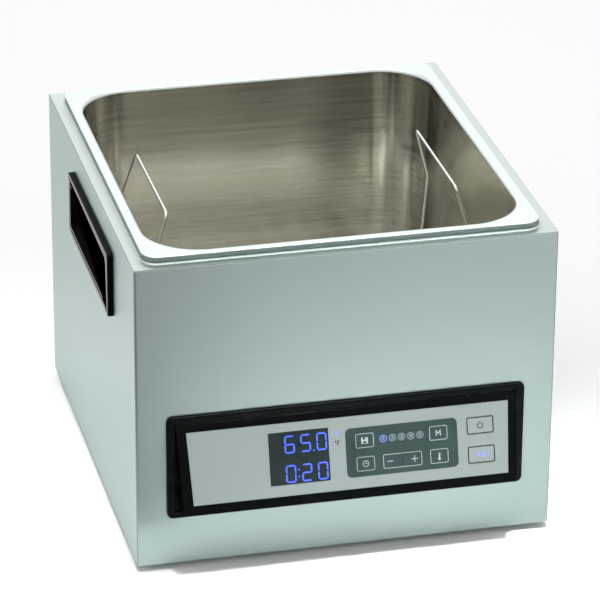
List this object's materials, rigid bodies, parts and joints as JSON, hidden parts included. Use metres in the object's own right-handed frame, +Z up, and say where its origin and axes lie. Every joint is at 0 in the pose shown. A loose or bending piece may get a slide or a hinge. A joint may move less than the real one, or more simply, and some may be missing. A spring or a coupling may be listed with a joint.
{
  "type": "sous vide water bath",
  "caption": "Countertop sous vide water bath: brushed steel box with a drop-in pan, tilted display and key console, side handles and a lift-out wire rack.",
  "frame": {"origin": "middle of the machine's footprint, on the surface that the feet stand on", "axes": "+X to the right seen from the front, +Y to the back, +Z up; the console faces -Y"},
  "size_m": [0.345, 0.3888, 0.2652],
  "materials": {
    "housing_steel": "brushed along the panel, satin",
    "galvanised_steel": "zinc coated, matt",
    "fastener_steel": "zinc plated",
    "foot_rubber": "matt moulded rubber",
    "pan_steel": "deep drawn, polished",
    "gasket_rubber": "silicone strip",
    "heater_silicone": "silicone heating foil",
    "insulation_felt": "needled glass felt",
    "black_plastic": "moulded",
    "handle_plastic": "moulded, semi-gloss",
    "console_plastic": "moulded, fine grain",
    "fascia_steel": "fine brushed foil",
    "display_smoke": "smoked window",
    "key_field_green": "printed satin foil, dark green-grey",
    "plate_key_steel": "fine brushed foil",
    "light_lens": "clear lens over a lamp",
    "circuit_board": "solder resist",
    "ribbon_grey": "grey sheath",
    "core_steel": "stacked laminations",
    "coil_copper": "enamelled wire",
    "capacitor_yellow": "moulded box",
    "heat_sink_aluminium": "extruded",
    "terminal_nylon": "nylon",
    "pin_brass": "bright",
    "wire_sheath": "silicone sheath",
    "rack_wire": "electropolished wire",
    "lit_digit": "lit from behind",
    "lit_mark": "lit from behind"
  },
  "bodies": {
    "housing": {"housing_wrap": "housing_steel", "top_frame": "housing_steel", "rear_panel": "housing_steel", "base_plate": "galvanised_steel", "panel_screws": "fastener_steel", "rubber_feet": "foot_rubber", "foot_screws": "fastener_steel", "bath_pan": "pan_steel", "rim_gasket": "gasket_rubber", "pan_clamps": "galvanised_steel", "fixing_nuts": "fastener_steel", "floor_heating_mat": "heater_silicone", "wall_heating_band": "heater_silicone", "insulation_jacket": "insulation_felt", "insulation_floor_pad": "insulation_felt", "temperature_probe": "pan_steel", "probe_clip": "fastener_steel", "thermal_cutout": "black_plastic", "left_handle_shell": "handle_plastic", "right_handle_shell": "handle_plastic", "handle_screws": "fastener_steel", "console_bezel": "console_plastic", "fascia_plate": "fascia_steel", "display_window": "display_smoke", "key_field": "key_field_green", "program_lights": "light_lens", "unit_marks": "lit_mark", "temperature_digits": "lit_digit", "timer_digits": "lit_digit", "display_module": "black_plastic", "control_board": "circuit_board", "key_switches": "black_plastic", "board_screws": "fastener_steel", "ribbon_cable": "ribbon_grey", "power_board": "circuit_board", "board_spacers": "fastener_steel", "relays": "black_plastic", "transformer_core": "core_steel", "transformer_coil": "coil_copper", "capacitors": "capacitor_yellow", "heat_sink": "heat_sink_aluminium", "fuse": "fastener_steel", "terminal_block": "terminal_nylon", "power_inlet": "black_plastic", "inlet_pins": "pin_brass", "inlet_screws": "fastener_steel", "mains_wires": "wire_sheath", "heater_wires": "wire_sheath", "sensor_wire": "ribbon_grey"},
    "rack": {"rack_grid": "rack_wire", "left_rack_bail": "rack_wire", "right_rack_bail": "rack_wire"},
    "save_key": {"save_key_cap": "key_field_green"},
    "memory_key": {"memory_key_cap": "key_field_green"},
    "timer_key": {"timer_key_cap": "key_field_green"},
    "minus_key": {"minus_key_cap": "key_field_green"},
    "plus_key": {"plus_key_cap": "key_field_green"},
    "temperature_key": {"temperature_key_cap": "key_field_green"},
    "power_key": {"power_key_cap": "plate_key_steel"},
    "start_key": {"start_key_cap": "plate_key_steel"}
  },
  "joints": [
    {"name": "rack_lift", "type": "slide", "parent": "housing", "child": "rack", "axis": [0, 0, 1], "range_m": [0, 0.25]},
    {"name": "save_key_press", "type": "slide", "parent": "housing", "child": "save_key", "axis": [0, 0.9613, -0.2756], "range_m": [0, 0.0004], "stiffness_N_per_m": 1000, "springref_m": -0.001},
    {"name": "memory_key_press", "type": "slide", "parent": "housing", "child": "memory_key", "axis": [0, 0.9613, -0.2756], "range_m": [0, 0.0004], "stiffness_N_per_m": 1000, "springref_m": -0.001},
    {"name": "timer_key_press", "type": "slide", "parent": "housing", "child": "timer_key", "axis": [0, 0.9613, -0.2756], "range_m": [0, 0.0004], "stiffness_N_per_m": 1000, "springref_m": -0.001},
    {"name": "minus_key_press", "type": "slide", "parent": "housing", "child": "minus_key", "axis": [0, 0.9613, -0.2756], "range_m": [0, 0.0004], "stiffness_N_per_m": 1000, "springref_m": -0.001},
    {"name": "plus_key_press", "type": "slide", "parent": "housing", "child": "plus_key", "axis": [0, 0.9613, -0.2756], "range_m": [0, 0.0004], "stiffness_N_per_m": 1000, "springref_m": -0.001},
    {"name": "temperature_key_press", "type": "slide", "parent": "housing", "child": "temperature_key", "axis": [0, 0.9613, -0.2756], "range_m": [0, 0.0004], "stiffness_N_per_m": 1000, "springref_m": -0.001},
    {"name": "power_key_press", "type": "slide", "parent": "housing", "child": "power_key", "axis": [0, 0.9613, -0.2756], "range_m": [0, 0.0004], "stiffness_N_per_m": 1000, "springref_m": -0.001},
    {"name": "start_key_press", "type": "slide", "parent": "housing", "child": "start_key", "axis": [0, 0.9613, -0.2756], "range_m": [0, 0.0004], "stiffness_N_per_m": 1000, "springref_m": -0.001}
  ]
}
